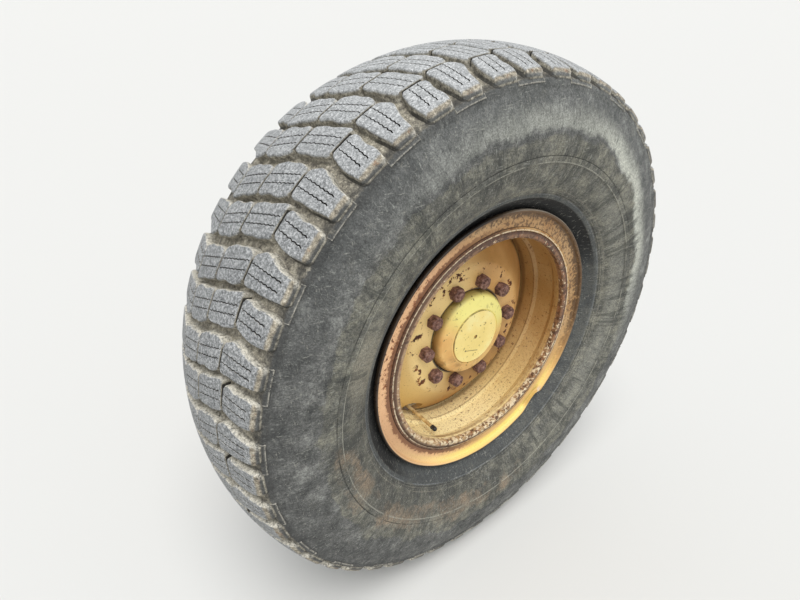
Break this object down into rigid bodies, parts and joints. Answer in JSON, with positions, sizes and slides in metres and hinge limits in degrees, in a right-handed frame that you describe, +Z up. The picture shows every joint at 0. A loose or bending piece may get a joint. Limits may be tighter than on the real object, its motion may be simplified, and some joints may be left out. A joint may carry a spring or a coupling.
{
  "type": "motor grader front wheel on its steering knuckle",
  "caption": "Siped snow-pattern tyre on a lock-ring rim with a dished disc, turning on the hub of a steering knuckle.",
  "frame": {"origin": "where the kingpin's axis meets the axle, in the middle of the kingpin bore", "axes": "+X forward, +Y outward along the axle, +Z up along the kingpin"},
  "size_m": [1.3781, 0.5509, 1.3763],
  "materials": {
    "axle_paint": "worn satin paint, dusty",
    "rim_paint": "weathered amber paint with rust",
    "flange_paint": "weathered amber paint, rusty edges",
    "hub_paint": "weathered yellow paint",
    "cap_paint": "pale yellow paint, scratched",
    "rusty_steel": "dark brown rust",
    "seal_steel": "dull pressed steel",
    "bronze": "dull bronze",
    "tyre_rubber": "dusty worn rubber",
    "valve_plastic": "dirty black"
  },
  "bodies": {
    "knuckle": {"knuckle": "axle_paint", "kingpin_bushings": "bronze", "steering_arm": "axle_paint", "arm_bolts": "rusty_steel"},
    "wheel": {"tyre": "tyre_rubber", "rim_base": "rim_paint", "side_flange": "flange_paint", "lock_ring": "rusty_steel", "wheel_disc": "rim_paint", "hub": "hub_paint", "hub_cap": "cap_paint", "hub_seal": "seal_steel", "wheel_studs": "rusty_steel", "wheel_nuts": "rusty_steel", "valve_stem": "rim_paint", "valve_cap": "valve_plastic"}
  },
  "joints": [
    {"name": "wheel_spin", "type": "hinge", "parent": "knuckle", "child": "wheel", "pos_m": [0, 0.28, 0], "axis": [0, 1, 0], "continuous": true}
  ]
}
